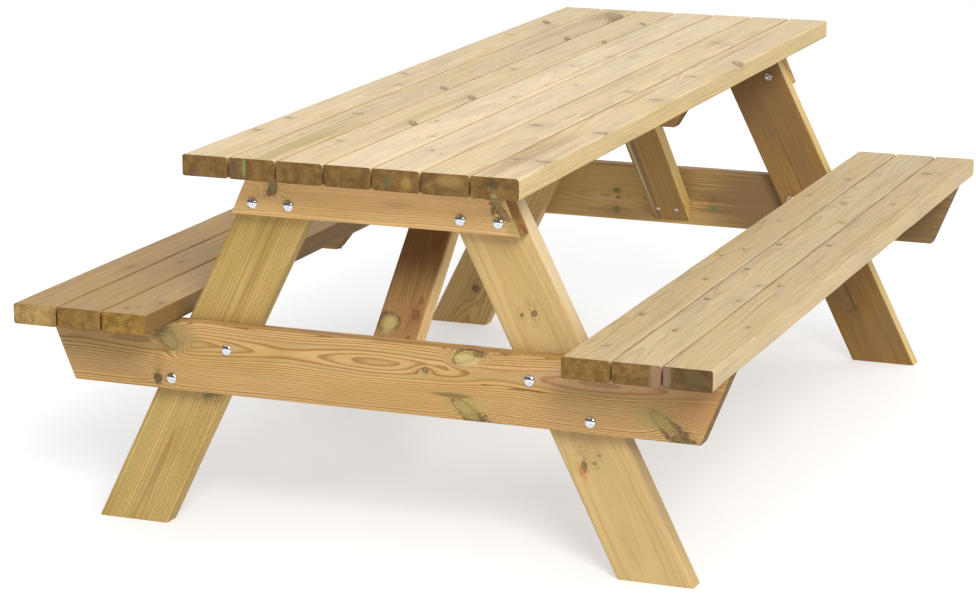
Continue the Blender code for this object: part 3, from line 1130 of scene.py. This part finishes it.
BEARER_GRAINS = {
    "front": Grain(
        43, pith_across=-26, pith_depth=8, ring_width=3.3, wander=4, wave=(3.0, 410.0, 235.0),
        wobble=2.1, contrast=1.12, treated=0.4, tint=(0.755, 0.605, 0.385), knot_strength=0.95,
        knots=(
            Knot(196, 110, 7, 0.0, (4, 8, 26)), Knot(226, 40, 13, 0.75, (14, 14, 20)),
            Knot(788, 14, 10, 0.9, (-30, 18, 16)), Knot(788, 101, 10, 0.6, (-34, -26, 16)),
            Knot(1152, 88, 10, 0.7, (-36, -30, 16)), Knot(722, 44, 5, 0.3, (3, 3, 20)),
        ),
        patches=(
            Patch(232, 30, (56, 34, 20), (0.27, 0.20, 0.065), 0.7),
            Patch(198, 80, (12, 44, 20), UMBER, 0.15), Patch(196, 108, (10, 18, 14), UMBER, 0.6),
            # The two patches at the bearer's ends darken and redden it where the benches shade it:
            # painted shade, with a redder tone.
            Patch(60, 30, (90, 30, 14), (0.34, 0.17, 0.07), 0.4),
            Patch(1240, 50, (110, 60, 14), (0.36, 0.17, 0.07), 0.45),
            Patch(800, 100, (50, 22, 20), OLIVE, 0.6),
            Patch(772, 84, (44, 5, 20), (0.16, 0.11, 0.035), 0.8),
            Patch(800, 18, (30, 14, 20), PALE_GREEN, 0.6), Patch(1140, 84, (44, 30, 20), GREEN, 0.6),
            Patch(1050, 30, (180, 26, 20), PINK, 0.28), Patch(470, 14, (160, 4, 12), BROWN, 0.35),
            Patch(560, 118, (200, 6, 12), BROWN, 0.3), Patch(100, 96, (90, 20, 12), BROWN, 0.25),
        ),
        checks=(Check(912, 62, 78, 1.0), Check(835, 59, 18, 0.7)),
    ),
    "back": Grain(
        44, pith_across=10, pith_depth=12, ring_width=3.5, wander=6, wave=(5.0, 460.0, 120.0),
        contrast=0.5, tint=(0.74, 0.60, 0.36),
        knots=(
            Knot(493, 61, 4, 0.2), Knot(497, 78, 4, 0.2), Knot(495, 104, 5, 0.2), Knot(725, 64, 4, 0.3),
            Knot(727, 86, 5, 0.3), Knot(1250, 88, 6, 0.3),
        ),
        patches=(
            Patch(470, 82, (90, 4, 12), PINK, 0.5),
            # The two large dark patches on the bearer's right part are painted shadow from the bench
            # above.
            Patch(840, 64, (190, 130, 40), (0.16, 0.09, 0.035), 0.88),
            Patch(1150, 64, (260, 130, 40), (0.14, 0.085, 0.032), 0.85),
            Patch(560, 110, (150, 22, 20), (0.26, 0.15, 0.06), 0.5),
            Patch(495, 60, (14, 8, 12), MOSS, 0.7), Patch(495, 104, (12, 12, 12), MOSS, 0.7),
            Patch(725, 86, (14, 10, 12), MOSS, 0.7),
        ),
    ),
}

LEG_GRAINS = {
    "front_left": Grain(
        51, pith_across=4, pith_depth=-34, ring_width=4.6, wander=9, wobble=1.5, contrast=0.85,
        treated=0.7, tint=(0.74, 0.645, 0.355),
        knots=(Knot(322, 100, 8, 0.3, (14, -4, 20)),),
        patches=(
            Patch(306, 92, (20, 14, 20), MOSS, 0.7), Patch(540, 76, (70, 9, 12), BROWN, 0.5),
            Patch(160, 60, (220, 7, 12), BROWN, 0.25), Patch(200, 20, (250, 16, 12), OLIVE, 0.35),
        ),
    ),
    "front_right": Grain(
        52, pith_across=-6, pith_depth=95, ring_width=4.2, wander=14, contrast=0.3, treated=0.35,
        tint=(0.78, 0.68, 0.47),
        knots=(
            Knot(230, 27, 5, 0.0, (-16, -12, 12)), Knot(235, 54, 3.5, 0.3), Knot(516, 68, 5, 0.1),
            Knot(522, 45, 3, 0.0), Knot(245, 68, 2.5, 0.2),
        ),
        patches=(
            Patch(226, 24, (26, 7, 12), (0.52, 0.25, 0.07), 0.7),
            Patch(190, 64, (120, 26, 12), OLIVE, 0.3),
            Patch(560, 40, (160, 4, 12), (0.50, 0.27, 0.09), 0.35),
            Patch(400, 90, (300, 9, 12), BROWN, 0.18), Patch(120, 100, (160, 12, 12), BROWN, 0.2),
            # These two patches on the leg's right side, pale high up and dark low down, are painted
            # light and shade.
            Patch(600, 126, (220, 7, 30), (0.68, 0.57, 0.37), 0.6, 19),
            Patch(180, 126, (200, 7, 30), (0.33, 0.23, 0.10), 0.75, 19),
        ),
    ),
    "back_left": Grain(
        53, pith_across=15, pith_depth=60, contrast=0.6, treated=0.4, tint=(0.78, 0.65, 0.41),
        knots=(Knot(97, 66, 8, 0.0),),
    ),
    # The back-right leg's dark tint is painted shade of the table top on its inner face; its large
    # painted side light brightens its lit side.
    "back_right": Grain(
        54, pith_across=5, pith_depth=70, contrast=0.28, treated=0.5, blotches=1.8,
        tint=(0.375, 0.255, 0.105), side_tint=(2.6, 3.5, 5.4),
        knots=(Knot(135, 40, 4, 0.0), Knot(136, 57, 6, 0.0), Knot(567, 49, 4, 0.0)),
        patches=(
            Patch(640, 60, (160, 90, 30), (0.20, 0.115, 0.05), 0.6),
            Patch(420, 84, (150, 34, 30), (0.19, 0.105, 0.05), 0.5),
            Patch(250, 30, (140, 40, 30), (0.20, 0.12, 0.05), 0.45),
            Patch(60, 80, (70, 60, 30), (0.20, 0.12, 0.05), 0.4),
            Patch(380, 58, (380, 1.6, 8), UMBER, 0.7), Patch(165, 56, (34, 2.5, 8), UMBER, 0.9),
        ),
    ),
}

BATTEN_GRAINS = {
    "top_batten": Grain(61, contrast=0.45, tint=(0.56, 0.42, 0.28)),
    "bench_batten_left": Grain(62, contrast=0.45, tint=(0.56, 0.42, 0.28)),
    "bench_batten_right": Grain(63, contrast=0.45, tint=(0.56, 0.42, 0.28)),
}

BRACE_GRAINS = {
    # The front brace's painted side light brightens its lit side.
    "front": Grain(
        71, pith_across=20, pith_depth=25, ring_width=4.0, contrast=0.8, treated=0.3,
        tint=(0.62, 0.46, 0.28), side_tint=(1.65, 1.9, 2.2),
        knots=(Knot(122, 27, 16, 0.9), Knot(145, 68, 6, 0.0, (16, -4, 16))),
        patches=(
            # This dark patch on the brace's upper part is painted shadow under the table top.
            Patch(335, 42, (180, 80, 14), (0.18, 0.09, 0.033), 0.68),
            Patch(118, 24, (26, 17, 14), PALE_GREEN, 0.7),
            Patch(140, 66, (44, 20, 14), (0.30, 0.12, 0.05), 0.5),
        ),
    ),
    # The back brace's dark tint is painted shade on its underside, seen under the table; its painted
    # side light brightens its lit side.
    "back": Grain(
        72, pith_across=-30, pith_depth=30, contrast=0.6, treated=0.5, tint=(0.40, 0.28, 0.08),
        side_tint=(2.4, 3.0, 6.0),
        patches=(
            Patch(290, 10, (330, 4, 12), (0.40, 0.38, 0.22), 0.6),
            Patch(250, 20, (240, 5, 12), UMBER, 0.6),
            Patch(420, 50, (120, 30, 12), (0.14, 0.10, 0.04), 0.5),
        ),
    ),
}


# ---------------------------------------------------------------------------
# Operators
# ---------------------------------------------------------------------------

class PICNIC_OT_top_boards(bpy.types.Operator):
    """Lay the boards of the table top"""

    bl_idname = "picnic.top_boards"
    bl_label = "Table-top boards"
    bl_options = {"REGISTER", "UNDO"}

    def execute(self, context):
        for number, grain in enumerate(TOP_GRAINS, start=1):
            board(f"top_board_{number}", grain)
        return {"FINISHED"}


class PICNIC_OT_bench_boards(bpy.types.Operator):
    """Lay the boards of both benches"""

    bl_idname = "picnic.bench_boards"
    bl_label = "Bench boards"
    bl_options = {"REGISTER", "UNDO"}

    def execute(self, context):
        for side_name, grains in BENCH_GRAINS.items():
            for number, grain in enumerate(grains, start=1):
                board(f"bench_board_{side_name}_{number}", grain)
        return {"FINISHED"}


class PICNIC_OT_legs(bpy.types.Operator):
    """Stand the slanting legs"""

    bl_idname = "picnic.legs"
    bl_label = "Legs"
    bl_options = {"REGISTER", "UNDO"}

    def execute(self, context):
        for end_name, _ in ENDS:
            for side_name, side in SIDES:
                leg(f"leg_{end_name}_{side_name}", side, LEG_GRAINS[f"{end_name}_{side_name}"])
        return {"FINISHED"}


class PICNIC_OT_beams(bpy.types.Operator):
    """Fit the top rails and the seat bearers"""

    bl_idname = "picnic.beams"
    bl_label = "Rails and bearers"
    bl_options = {"REGISTER", "UNDO"}

    def execute(self, context):
        sizes = context.scene.timber_sizes
        for end_name, _ in ENDS:
            beam(f"top_rail_{end_name}", sizes.rail_slant, False, RAIL_GRAINS[end_name])
            grain = BEARER_GRAINS[end_name]
            beam(f"seat_bearer_{end_name}", sizes.bearer_slant, True, grain)
        return {"FINISHED"}


class PICNIC_OT_battens(bpy.types.Operator):
    """Fit the battens under the table top and the benches"""

    bl_idname = "picnic.battens"
    bl_label = "Battens"
    bl_options = {"REGISTER", "UNDO"}

    def execute(self, context):
        sizes = context.scene.timber_sizes
        for node, grain in BATTEN_GRAINS.items():
            slant = sizes.top_batten_slant if node == "top_batten" else sizes.bench_batten_slant
            beam(node, slant, True, grain)
        return {"FINISHED"}


class PICNIC_OT_braces(bpy.types.Operator):
    """Fit the two diagonal braces"""

    bl_idname = "picnic.braces"
    bl_label = "Braces"
    bl_options = {"REGISTER", "UNDO"}

    def execute(self, context):
        for end_name, end_side in ENDS:
            brace(f"brace_{end_name}", end_side, BRACE_GRAINS[end_name])
        return {"FINISHED"}


class PICNIC_OT_fasteners(bpy.types.Operator):
    """Put in the carriage bolts, washers and nuts"""

    bl_idname = "picnic.fasteners"
    bl_label = "Bolts and nuts"
    bl_options = {"REGISTER", "UNDO"}

    def execute(self, context):
        steps = context.scene.fastener_sizes.round_steps
        bright = zinc("bolt_zinc", 0.0)
        dull = zinc("nut_zinc", 0.4)
        low, high = box_of("bolt_front_left_1")
        half = (high.y - low.y) / 2
        bolt = bolt_mesh(-half, half, (high.x - low.x) / 2)
        washer_low, nut_high = box_of("nut_front_left_1")
        depth = nut_high.y - washer_low.y
        rim = (nut_high.x - washer_low.x) / 2
        washer_rings = [
            (0, WASHER_BORE, 0), (0, rim - 0.2 * MM, 0), (0.3 * MM, rim, 0),
            (WASHER_THICKNESS - 0.3 * MM, rim, 0), (WASHER_THICKNESS, rim - 0.2 * MM, 0),
            (WASHER_THICKNESS, WASHER_BORE, 0),
        ]
        washer = turned_mesh("washer", washer_rings, True, steps)
        nut_rings = [
            (WASHER_THICKNESS, 4.3 * MM, 0), (WASHER_THICKNESS, 6.3 * MM, 0),
            (WASHER_THICKNESS + 0.6 * MM, NUT_SIZE, 6), (depth - 0.8 * MM, NUT_SIZE, 6),
            (depth, 6.2 * MM, 0), (depth, 4.8 * MM, 0), (depth - 0.6 * MM, NUT_BORE, 0),
            (WASHER_THICKNESS + 0.5 * MM, NUT_BORE, 0),
        ]
        nut = turned_mesh("nut", nut_rings, True, steps)
        for end_name, end_side in ENDS:
            for side_name, _ in SIDES:
                for number in range(1, 5):
                    label = f"{end_name}_{side_name}_{number}"
                    outward = Y_AXIS * end_side
                    node = f"bolt_{label}"
                    low, high = box_of(node)
                    middle = (low + high) / 2
                    place_fastener(f"carriage_{node}", bolt, middle, outward, node, bright)
                    node = f"nut_{label}"
                    low, high = box_of(node)
                    seat = (low + high) / 2
                    seat.y = low.y if end_side < 0 else high.y
                    place_fastener(f"hex_{node}", nut, seat, outward, node, dull)
                    place_fastener(f"washer_{label}", washer, seat, outward, None, dull)
        return {"FINISHED"}


class PICNIC_OT_screws(bpy.types.Operator):
    """Put in the screws of the braces and the battens"""

    bl_idname = "picnic.screws"
    bl_label = "Screws"
    bl_options = {"REGISTER", "UNDO"}

    def execute(self, context):
        sizes = context.scene.fastener_sizes
        metal = zinc("screw_zinc", 0.2)
        screw = screw_mesh()
        for end_name, end_side in ENDS:
            foot, along, upward = brace_line(f"brace_{end_name}", end_side)
            for side_name, side in SIDES:
                name = f"brace_screw_{end_name}_{side_name}"
                point = foot + along * sizes.screw_setback + X_AXIS * side * sizes.screw_spread
                place_fastener(name, screw, point, -upward, None, metal)
        rows = {"top_batten": ("top_board_", 7)}
        for side_name, _ in SIDES:
            rows[f"bench_batten_{side_name}"] = (f"bench_board_{side_name}_", 3)
        for batten, (prefix, count) in rows.items():
            low, high = box_of(batten)
            for number in range(1, count + 1):
                left, right = box_of(f"{prefix}{number}")
                middle = (left.x + right.x) / 2
                middle = min(max(middle, low.x + PLANK_THICKNESS), high.x - PLANK_THICKNESS)
                point = Vector((middle, (low.y + high.y) / 2, low.z))
                place_fastener(f"{batten}_screw_{number}", screw, point, -Z_AXIS, None, metal)
        return {"FINISHED"}


class PICNIC_OT_stage(bpy.types.Operator):
    """Lay the floor and set the light and the camera"""

    bl_idname = "picnic.stage"
    bl_label = "Stage"
    bl_options = {"REGISTER", "UNDO"}

    def execute(self, context):
        settings = context.scene.stage_settings
        shape = bmesh.new()
        bmesh.ops.create_grid(shape, x_segments=1, y_segments=1, size=settings.floor_size / 2)
        mesh = bpy.data.meshes.new("studio_floor")
        shape.to_mesh(mesh)
        shape.free()
        floor = bpy.data.objects.new("studio_floor", mesh)
        context.scene.collection.objects.link(floor)
        material = bpy.data.materials.new("studio_floor")
        shader = Shader(material)
        shader.set("Base Color", settings.floor_colour)
        shader.set("Emission Color", settings.floor_colour)
        shader.set("Emission Strength", settings.floor_glow)
        shader.set("Roughness", 0.9)
        mesh.materials.append(material)
        self.light(context, settings)
        self.camera(context, settings)
        context.scene.view_settings.view_transform = "Standard"
        return {"FINISHED"}

    def light(self, context, settings):
        """Make the overcast sky and the softbox."""
        world = bpy.data.worlds.new("studio")
        context.scene.world = world
        shader = Shader(world, "Background")
        direction = shader.node("ShaderNodeTexCoord", output="Generated")
        zenith = Vector(settings.sky_direction).normalized()
        overhead = shader.vector("DOT_PRODUCT", direction, zenith, output="Value")
        shader.set("Strength", shader.step(overhead, -0.1, 0.7, settings.sky_low, settings.sky_high))
        shader.set("Color", (1.0, 1.0, 1.0))
        light = bpy.data.lights.new("key_softbox", "AREA")
        light.shape = "SQUARE"
        light.size = settings.softbox_size
        light.energy = settings.softbox_power
        lamp = bpy.data.objects.new("key_softbox", light)
        context.scene.collection.objects.link(lamp)
        lamp.location = settings.softbox_place
        aim = Vector((0, 0, 0.4)) - Vector(settings.softbox_place)
        lamp.rotation_euler = aim.to_track_quat("-Z", "Y").to_euler()

    def camera(self, context, settings):
        """Stand the camera in its place and use it."""
        data = bpy.data.cameras.new("camera")
        data.lens = settings.lens
        data.sensor_width = 36.0
        data.clip_end = 200.0
        camera = bpy.data.objects.new("camera", data)
        context.scene.collection.objects.link(camera)
        turn = Matrix.Rotation(settings.camera_turn, 4, "Z")
        tilt = Matrix.Rotation(math.pi / 2 - settings.camera_tilt, 4, "X")
        roll = Matrix.Rotation(settings.camera_roll, 4, "Z")
        camera.matrix_world = Matrix.Translation(settings.camera_place) @ turn @ tilt @ roll
        context.scene.camera = camera


MAKERS = (
    PICNIC_OT_top_boards,
    PICNIC_OT_bench_boards,
    PICNIC_OT_legs,
    PICNIC_OT_beams,
    PICNIC_OT_battens,
    PICNIC_OT_braces,
    PICNIC_OT_fasteners,
    PICNIC_OT_screws,
    PICNIC_OT_stage,
)

SETTINGS = (
    ("timber_sizes", TimberSizes),
    ("fastener_sizes", FastenerSizes),
    ("wood_colours", WoodColours),
    ("metal_colours", MetalColours),
    ("stage_settings", StageSettings),
)


class PICNIC_PT_panel(bpy.types.Panel):
    """Lists the builders and their settings"""

    bl_idname = "PICNIC_PT_panel"
    bl_label = "Picnic Table"
    bl_space_type = "VIEW_3D"
    bl_region_type = "UI"
    bl_category = "Picnic Table"

    def draw(self, context):
        layout = self.layout
        for maker in MAKERS:
            layout.operator(maker.bl_idname)
        for name, group in SETTINGS:
            box = layout.box()
            settings = getattr(context.scene, name)
            for key in group.__annotations__:
                box.prop(settings, key)


def register():
    for _, group in SETTINGS:
        bpy.utils.register_class(group)
    for name, group in SETTINGS:
        setattr(bpy.types.Scene, name, PointerProperty(type=group))
    for maker in MAKERS:
        bpy.utils.register_class(maker)
    bpy.utils.register_class(PICNIC_PT_panel)


def unregister():
    bpy.utils.unregister_class(PICNIC_PT_panel)
    for maker in reversed(MAKERS):
        bpy.utils.unregister_class(maker)
    for name, group in reversed(SETTINGS):
        delattr(bpy.types.Scene, name)
        bpy.utils.unregister_class(group)


def main():
    register()
    for maker in MAKERS:
        group, name = maker.bl_idname.split(".")
        getattr(getattr(bpy.ops, group), name)()
    bpy.context.view_layer.update()


if __name__ == "__main__":
    main()
